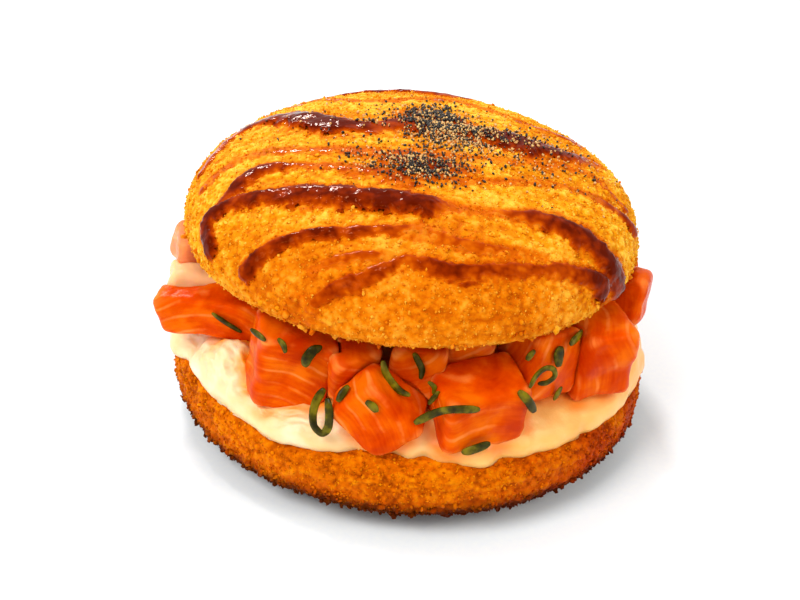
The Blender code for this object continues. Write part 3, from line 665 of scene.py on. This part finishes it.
dice_draw = random.Random(31)
for node in sorted(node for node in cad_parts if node.startswith("salmon_")):
    die = object_of(merged_copy(node), node + "_flesh", salmon_material)
    remesh = die.modifiers.new("even faces", "REMESH")
    remesh.mode = "VOXEL"
    remesh.voxel_size = HIDDEN_DICE_VOXEL if "inner" in node else DICE_VOXEL
    finished_mesh(die)
    blunt(die, BLUNTING)
    soft = [v.co.copy() for v in die.data.vertices]
    blunt(die, MORE_BLUNTING)
    centre = sum((v.co for v in die.data.vertices), Vector()) / len(die.data.vertices)
    across = Vector([dice_draw.gauss(0, 1) for _ in range(3)])
    across = Vector(GRAIN_WAYS.get(node, across)).normalized()
    turn = across.rotation_difference(Vector((1, 0, 0)))
    offset = Vector([dice_draw.uniform(0, 90) for _ in range(3)])
    grain_rows, edge_rows, places = [], [], []
    for v, place in zip(die.data.vertices, soft):
        local = turn @ (place - centre) / MM
        local.x += FAT_ARC * (local.y**2 + local.z**2)
        grain_rows.extend(local + offset)
        edge_rows.append(clamped(((place - v.co).length / MM - EDGE_FROM) / EDGE_OVER))
        swell = 0.5 * noise.noise(place / (5 * MM)) + 0.2 * noise.noise(place / (2.2 * MM))
        places.extend(place + v.normal * (FLESH_SWELL + swell) * MM)
    die.data.vertices.foreach_set("co", places)
    die.data.attributes.new("grain", "FLOAT_VECTOR", "POINT").data.foreach_set("vector", grain_rows)
    add_values(die, "edge", edge_rows)
    add_values(die, "paleness", [PALENESS.get(node, 0.0)] * len(edge_rows))
    die.data.shade_smooth()
    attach(die, "root")
    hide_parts(node)

# The spring onion.
# Green tops cut across into thin rings and strips, thrown over the fish. They are wet and dark green, with
# paler patches.
ONION_SWELL = 0.12 * MM  # the leaf is this much fuller than the rounded copy of its solid

# Onion leaf: smooth and wet, so it glints, with a little light in its paler patches.
onion_material, onion_tree, onion_shader, onion_place = new_material("wet spring onion leaf")
onion_patches = add_node(onion_tree, "ShaderNodeTexNoise", {"Vector": onion_place}, in_Scale=0.35,
                         in_Detail=3)
onion_colour = colour_ramp(onion_tree, onion_patches.outputs["Fac"],
                           ((0.34, "#221E02"), (0.5, "#403A02"), (0.68, "#786C0A")))
onion_tree.links.new(onion_colour, onion_shader.inputs["Base Color"])
onion_shader.inputs["Roughness"].default_value = 0.18
onion_shader.inputs["IOR"].default_value = 1.2
onion_shader.inputs["Subsurface Weight"].default_value = 0.05
onion_shader.inputs["Subsurface Radius"].default_value = (0.3, 1.0, 0.15)
onion_shader.inputs["Subsurface Scale"].default_value = 0.8 * MM
onion_veins = add_node(onion_tree, "ShaderNodeTexNoise", {"Vector": onion_place}, in_Scale=2.0, in_Detail=3)
onion_bump = add_node(onion_tree, "ShaderNodeBump", {"Height": onion_veins.outputs["Fac"]}, in_Strength=0.4,
                      in_Distance=0.2 * MM)
onion_tree.links.new(onion_bump.outputs["Normal"], onion_shader.inputs["Normal"])

for node in sorted(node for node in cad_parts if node.startswith("onion_")):
    strip = object_of(merged_copy(node), node + "_leaf", onion_material)
    rounder = strip.modifiers.new("rounder", "SUBSURF")
    rounder.levels = 2
    rounder.render_levels = 2
    finished_mesh(strip)
    places = [c for v in strip.data.vertices for c in v.co + v.normal * ONION_SWELL]
    strip.data.vertices.foreach_set("co", places)
    strip.data.shade_smooth()
    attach(strip, "root")
    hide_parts(node)

# The top bun.
# The same rice and crumb as the bottom one, but domed and fried paler. Dark sauce is drizzled over it in a
# zigzag and soaks into the crumbs, so their stain is worked out here from the route of each line.
TOP_X = -1.5 * MM  # it sits a little to the left
TOP_RADIUS = 47.5 * MM
TOP_LEVEL = 43.8 * MM  # height of its widest level
TOP_RISE = 18.8 * MM
TOP_DROP = 5.6 * MM
DOME_POWER = 2.2
UNDERSIDE_POWER = 3.1
DRIZZLE = (
    # each line's route as x, y, width (all mm), share of the full depth of sauce
    ((-21, -45.5, 5, 0.2), (-17, -43.5, 3.5, 0.5), (-9, -42, 4.8, 0.85), (-2, -38.5, 3.8, 0.65),
     (7, -39.5, 5.4, 0.9), (16, -37, 4.4, 0.7), (26, -33, 4.8, 0.6), (36, -28.5, 6, 1.1)),
    ((-31.5, -35.5, 4.8, 0.85), (-24, -33, 4, 0.9), (-11, -32.5, 4, 0.7), (0, -32, 5, 0.55),
     (12, -33.5, 4.4, 0.5), (24, -31.5, 3.5, 0.25)),
    ((-39.6, -27, 4.2, 1.2), (-41, -21, 4.8, 1.1), (-32, -20.5, 5.5, 0.9), (-20, -22.5, 7.5, 1),
     (-4, -24.5, 9, 1.2), (1, -24.6, 8, 1.1), (5.5, -24.4, 4.5, 0.4), (12, -24, 3, 0.3),
     (18.5, -23.2, 4.6, 0.65), (27, -22, 7, 0.85), (40, -24, 7.5, 1.0)),
    ((-39, -19, 3.4, 0.7), (-33, -12, 5.4, 0.95), (-27, -12, 4, 0.7), (-20, -12.5, 3, 0.35),
     (-6, -15.5, 7, 0.55), (2, -15, 6, 0.6), (12, -14.5, 3, 0.3), (27, -9, 3, 0.2), (44, -8, 3.4, 0.7)),
    ((-44, -10, 3, 0.5), (-36, -4.5, 3.6, 0.45), (-20, -6, 3.4, 0.35), (0, -7.5, 5, 0.45), (16, -5, 3, 0.35),
     (32, 1, 3, 0.35), (42, -4, 3, 0.5)),
    ((-46, -2, 3, 0.6), (-41, 11, 4.4, 0.6), (-31, 13, 8, 1), (-21, 6, 9, 1.1), (-12, 4, 7, 0.8),
     (-4, 6, 8, 0.9), (4, 5, 7, 0.7), (12, 5, 8.5, 1.1), (22, 4, 9, 1.15), (31, 6, 6, 0.7),
     (38, 10.5, 4, 0.45)),
    ((-35, 24, 3.4, 0.5), (-24, 26, 3.4, 0.5), (-11, 21, 3, 0.35), (4, 27, 3.4, 0.4), (20, 20, 3, 0.35),
     (33, 19, 3.4, 0.6)),
    ((-28, 35, 3.4, 0.9), (-12, 37, 4, 0.9), (2, 34, 4, 0.9), (16, 36, 3, 0.5), (28, 32, 3, 0.4)),
    ((-5, 13, 4, 0.4), (0, 12, 7, 0.75), (5, 11, 6, 0.8), (10, 9.5, 4, 0.4)),
    ((-8, -10.5, 3.5, 0.4), (-2, -11, 6, 0.7), (3, -11.5, 6.5, 0.85), (9, -11, 4, 0.4)),
    ((-19, -39.5, 3, 0.3), (-15, -38.4, 4, 0.5), (-10, -37.8, 4, 0.6), (-5, -38, 3.5, 0.5)),
)
ROUTE_STEP = 0.7
FAR_OUTSIDE = -3.0  # depth in a line of sauce where none is near
PAINTED_SHADE_FRONT = -22 * MM  # the crust is painted darker in front of this, as shade
SAUCE_LEVEL = 1.05  # where a full line stands, as a share of the crust's relief
RAGGED_FINE, RAGGED_COARSE = 0.9 * MM, 2.6 * MM  # sizes of the crumbs that break up a line's edge
STREAK_LENGTH, STREAK_WIDTH = 15 * MM, 2 * MM
SOAKED = (
    # places beside the lines that the sauce soaked: x, y, reach (all mm), stain
    (1, 9, 10, 1.5),
    (9, 3, 8, 1.1),
    (1, -11, 9, 1.4),
    (24, 0, 9, 0.6),
    (10, -28, 13, 0.4),
    (-21, -44, 7, 0.75),
)


def top_bun_point(direction):
    """Where the top bun's skin lies for a point on the unit ball."""
    return bun_point(direction, TOP_X, TOP_RADIUS, TOP_LEVEL, TOP_RISE, TOP_DROP, DOME_POWER, UNDERSIDE_POWER)


def dome_height(x, y):
    """Height of the top bun's outer shape over a place seen from above."""
    out = min(1.0, math.hypot(x - TOP_X, y) / TOP_RADIUS)
    return TOP_LEVEL + TOP_RISE * (1 - out**DOME_POWER) ** (1 / DOME_POWER)


def smooth_line(points, step):
    """Points about a step apart on a Catmull-Rom curve through these points."""
    points = [Vector(p) for p in points]
    ends = [2 * points[0] - points[1], *points, 2 * points[-1] - points[-2]]
    line = []
    for a, b, c, d in zip(ends, ends[1:], ends[2:], ends[3:]):
        count = max(1, round((c - b).length / step))
        for i in range(count):
            t = i / count
            line.append(0.5 * (2 * b + (c - a) * t + (2 * a - 5 * b + 4 * c - d) * t**2
                               + (3 * b - a - 3 * c + d) * t**3))
    return [*line, points[-1]]


def drizzled_line(route):
    """A KDTree of the points along one line of sauce, and the half width and share of depth at each."""
    points = smooth_line(route, ROUTE_STEP)
    tree = KDTree(len(points))
    halves, shares = [], []
    for i, (x, y, width, share) in enumerate(points):
        tree.insert((x * MM, y * MM, dome_height(x * MM, y * MM)), i)
        swell = 1 + 0.25 * noise.noise(Vector((x, y, 0)) * 0.15) + 0.25 * noise.noise(Vector((x, y, 5)) * 0.4)
        halves.append(width * MM / 2 * swell)
        shares.append(share)
    tree.balance()
    return tree, halves, shares


drizzled_lines = [drizzled_line(route) for route in DRIZZLE]


def sauce_at(point):
    """How far a point is inside a line of sauce, from 0 on its edge to 1, and how full the line is there.

    The sauce ran forwards between the crumbs, so the front edge of a line is more ragged than the back one.
    """
    if point.z < TOP_LEVEL - 2 * MM:
        return FAR_OUTSIDE, 0.0
    best_depth, best_share = FAR_OUTSIDE, 0.0
    for tree, halves, shares in drizzled_lines:
        middle, i, away = tree.find(point)
        if away > 3 * halves[i]:
            continue
        forward = clamped((middle.y - point.y) / halves[i])
        ragged = 0.5 * noise.noise(point / RAGGED_FINE) + 0.5 * noise.noise(point / RAGGED_COARSE)
        depth = 1 - away / halves[i] + ragged * (0.3 + 0.8 * forward)
        if depth > best_depth:
            best_depth, best_share = depth, shares[i] * (1 - 0.25 * forward)
    return best_depth, best_share


def sauce_fill(depth, share):
    """How high the sauce stands, as a share of a full line: steep at its edge, nearly flat on its middle."""
    return (1 - (1 - clamped(depth * 1.6)) ** 2.2) * min(1.15, share * 1.1)


top_mesh = finer_ball(-0.02, 2)
for v in top_mesh.verts:
    v.co = top_bun_point(v.co)
top_mesh.normal_update()
top_sauce = [sauce_at(v.co) for v in top_mesh.verts]
sauce_mesh = top_mesh.copy()


def stain_at(point, depth, share):
    """How dark the crust is: soaked with sauce near a line, streaked, and painted darker in front as shade.
    """
    beside = clamped(0.5 + depth * 1.6) * (0.45 + 0.55 * clamped(share))
    streaks = noise.noise(Vector((point.x / STREAK_LENGTH, point.y / STREAK_WIDTH, point.z / STREAK_WIDTH)))
    high = clamped((point.z - TOP_LEVEL) / (8 * MM))
    # Painted shade on the front of the dome.
    front = 0.36 * clamped((PAINTED_SHADE_FRONT - point.y) / (16 * MM))
    patch = clamped(0.8 + 1.2 * noise.noise(point / (3.5 * MM)))
    soaked = max(stain * math.exp(-2 * (math.hypot(point.x / MM - x, point.y / MM - y) / reach) ** 2)
                 for x, y, reach, stain in SOAKED)
    streaked = clamped(streaks * 2.2 - 0.25) * 0.26 * high
    return max(beside * (0.85 + 0.3 * streaks), streaked, front, clamped(soaked * patch))


top_relief, top_stain = [], []
for v, (depth, share) in zip(top_mesh.verts, top_sauce):
    relief = crumb_lumps(v.co)
    top_relief.append(relief)
    top_stain.append(stain_at(v.co, depth, share))
    v.co += v.normal * (relief * CRUST_RELIEF - CRUST_ROOM)
# Below its widest level this bun's crust is painted darker, as shade under the dome.
top_crumb = crumb_material("golden fried breadcrumb", "#FCCA48", "#EC9C10", "#CE7202", deep_below=44,
                           burnt_below=-50)
top_core = object_of(top_mesh, "bun_top_crust", top_crumb)
add_values(top_core, "relief", top_relief)
# Sauce stains, and painted shade on the front.
add_values(top_core, "stain", top_stain)
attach(top_core, "root")
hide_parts("bun_top")


def crumb_spots_on_top(count, seed):
    """Spots for crumbs on the top bun with how dark each is from stains and painted shade, few of them where
    the sauce is deep.
    """
    draw = random.Random(seed)
    spots, stains = [], []
    for place, normal in spots_on(top_core, count, seed, lambda place: place.z > 37 * MM):
        depth, share = sauce_at(place)
        if draw.random() < clamped(2 * sauce_fill(depth, share) - 0.5):
            continue
        spots.append((place, normal))
        stains.append(clamped(stain_at(place, depth, share) + draw.uniform(-0.15, 0.1)))
    return spots, stains


fine_spots, fine_stains = crumb_spots_on_top(23000, 41)
coarse_spots, coarse_stains = crumb_spots_on_top(1800, 43)
top_fine = crumb_piece("bun_top_fine_crumbs", top_crumb, fine_crumb_shapes, fine_spots,
                       (0.3 * MM, 0.65 * MM), 42, fine_stains)
top_coarse = crumb_piece("bun_top_coarse_crumbs", top_crumb, crumb_shapes, coarse_spots,
                         (0.5 * MM, 1.0 * MM), 44, coarse_stains)
rim_spots = spots_on(top_core, 900, 45, lambda place: 38.2 * MM < place.z < 45 * MM)
rim_draw = random.Random(47)
rim_stains = [rim_draw.uniform(0.1, 0.6) for _ in rim_spots]
top_rim = crumb_piece("bun_top_rim_crumbs", top_crumb, crumb_shapes, rim_spots, (0.8 * MM, 1.9 * MM), 46,
                      rim_stains)
for piece in (top_fine, top_coarse, top_rim):
    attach(piece, "root")

# The sauce.
# A thick dark glaze of soy and sugar, squeezed from a bottle in a zigzag. It stands on the crumbs in rounded
# glossy lines, thinner and paler towards their ragged edges.
sauce_thickness = {}
dry_places = []
for v, (depth, share), relief in zip(sauce_mesh.verts, top_sauce, top_relief):
    if depth < 0:
        dry_places.append(v)
    lumps = 0.22 * noise.noise(v.co / (4 * MM)) + 0.07 * noise.noise(v.co / (1.5 * MM))
    height = sauce_fill(depth, share) * (SAUCE_LEVEL + lumps)
    sauce_thickness[v] = (height - relief) * CRUST_RELIEF / MM
    v.co += v.normal * (height * CRUST_RELIEF - CRUST_ROOM)
bmesh.ops.delete(sauce_mesh, geom=dry_places, context="VERTS")
loose = [v for v in sauce_mesh.verts if not v.link_faces]
bmesh.ops.delete(sauce_mesh, geom=loose, context="VERTS")
sauce_values = [sauce_thickness[v] for v in sauce_mesh.verts]

# Soy glaze: wet and glossy with small sharp glints, nearly black red where it is thick and amber where thin.
sauce_material, sauce_tree, sauce_shader, sauce_place = new_material("soy glaze")
thickness = add_node(sauce_tree, "ShaderNodeAttribute", attribute_name="thickness").outputs["Fac"]
glaze_patches = add_node(sauce_tree, "ShaderNodeTexNoise", {"Vector": sauce_place}, in_Scale=0.3,
                         in_Detail=4)
glaze_depth = add_node(sauce_tree, "ShaderNodeMath", {0: thickness, 1: glaze_patches.outputs["Fac"]},
                       operation="MULTIPLY")
glaze_colour = colour_ramp(sauce_tree, glaze_depth.outputs[0],
                           ((0.0, "#CC6004"), (0.15, "#A83C00"), (0.34, "#802200"), (0.55, "#581000")))
sauce_tree.links.new(glaze_colour, sauce_shader.inputs["Base Color"])
sauce_shader.inputs["Roughness"].default_value = 0.08
sauce_shader.inputs["IOR"].default_value = 1.18
sauce_shader.inputs["Specular Tint"].default_value = rgb("#FF9040")
glaze_waves = add_node(sauce_tree, "ShaderNodeTexNoise", {"Vector": sauce_place}, in_Scale=0.7, in_Detail=2)
glaze_bump = add_node(sauce_tree, "ShaderNodeBump", {"Height": glaze_waves.outputs["Fac"]}, in_Strength=0.5,
                      in_Distance=0.3 * MM)
sauce_tree.links.new(glaze_bump.outputs["Normal"], sauce_shader.inputs["Normal"])
sauce = object_of(sauce_mesh, "bun_top_sauce", sauce_material)
add_values(sauce, "thickness", sauce_values)
sauce_wall = sauce.modifiers.new("wall", "SOLIDIFY")
sauce_wall.thickness = 0.4 * MM
sauce_wall.offset = -1
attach(sauce, "root")

# The seeds.
# Small black seeds, such as poppy, and tan toasted grains, thrown on in heaps and a thin scatter. They stick
# to the sauce and the crumbs.
SEED_HEAPS = (
    # middle x, y, spread x, y (all mm), black seeds, tan grains
    (1, 10, 5.5, 8, 820, 200),
    (7, 3, 8, 7, 420, 460),
    (0, -12, 7.5, 5, 480, 240),
    (-9, -9, 8, 5, 70, 70),
    (20, 2, 15, 12, 190, 230),
    (-12, 8, 14, 10, 80, 80),
)

# Black seed: dry and pitted, with a dull shine and a tinge of brown.
seed_material, seed_tree, seed_shader, seed_place = new_material("black seed")
seed_patches = add_node(seed_tree, "ShaderNodeTexNoise", {"Vector": seed_place}, in_Scale=0.9, in_Detail=2)
seed_colour = colour_ramp(seed_tree, seed_patches.outputs["Fac"], ((0.35, "#0C0805"), (0.6, "#2C1E12")))
seed_tree.links.new(seed_colour, seed_shader.inputs["Base Color"])
seed_shader.inputs["Roughness"].default_value = 0.4
seed_pits = add_node(seed_tree, "ShaderNodeTexNoise", {"Vector": seed_place}, in_Scale=4, in_Detail=2)
seed_bump = add_node(seed_tree, "ShaderNodeBump", {"Height": seed_pits.outputs["Fac"]}, in_Strength=0.5,
                     in_Distance=0.1 * MM)
seed_tree.links.new(seed_bump.outputs["Normal"], seed_shader.inputs["Normal"])

# Toasted grain: pale tan and slightly oily, with a little light inside.
grain_material, grain_tree, grain_shader, grain_place = new_material("tan toasted grain")
grain_patches = add_node(grain_tree, "ShaderNodeTexNoise", {"Vector": grain_place}, in_Scale=0.8, in_Detail=2)
grain_colour = colour_ramp(grain_tree, grain_patches.outputs["Fac"], ((0.35, "#BC8038"), (0.6, "#E4B874")))
grain_tree.links.new(grain_colour, grain_shader.inputs["Base Color"])
grain_shader.inputs["Roughness"].default_value = 0.45
grain_shader.inputs["Subsurface Weight"].default_value = 0.2
grain_shader.inputs["Subsurface Radius"].default_value = (1.0, 0.5, 0.2)
grain_shader.inputs["Subsurface Scale"].default_value = 0.6 * MM

top_graph = bpy.context.evaluated_depsgraph_get()
top_surfaces = [BVHTree.FromObject(piece, top_graph) for piece in (top_core, sauce)]
DROP_FROM = 200 * MM
SEED_DEVIATION = 0.6  # of a throw, as a share of its heap's spread
SEED_LIFT = 0.15 * MM  # above the crust or the sauce
STEEPEST = 0.3  # seeds roll off where the surface's normal rises less than this
seed_draw = random.Random(51)
seed_spots, grain_spots = [], []
for heap_x, heap_y, spread_x, spread_y, black_count, tan_count in SEED_HEAPS:
    for spots, count in ((seed_spots, black_count), (grain_spots, tan_count)):
        for _ in range(count):
            x = seed_draw.gauss(heap_x, spread_x * SEED_DEVIATION) * MM
            y = seed_draw.gauss(heap_y, spread_y * SEED_DEVIATION) * MM
            start = Vector((x, y, DROP_FROM))
            hits = [surface.ray_cast(start, Vector((0, 0, -1))) for surface in top_surfaces]
            hits = [(place, normal) for place, normal, _, _ in hits if place]
            place, normal = max(hits, key=lambda hit: hit[0].z, default=(None, None))
            if place and normal.z > STEEPEST:
                spots.append((place + normal * SEED_LIFT, normal))
black_seeds = crumb_piece("bun_top_black_seeds", seed_material, crumb_shapes, seed_spots,
                          (0.4 * MM, 0.85 * MM), 52)
tan_grains = crumb_piece("bun_top_tan_grains", grain_material, crumb_shapes, grain_spots,
                         (0.4 * MM, 0.8 * MM), 53)
for piece in (black_seeds, tan_grains):
    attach(piece, "root")
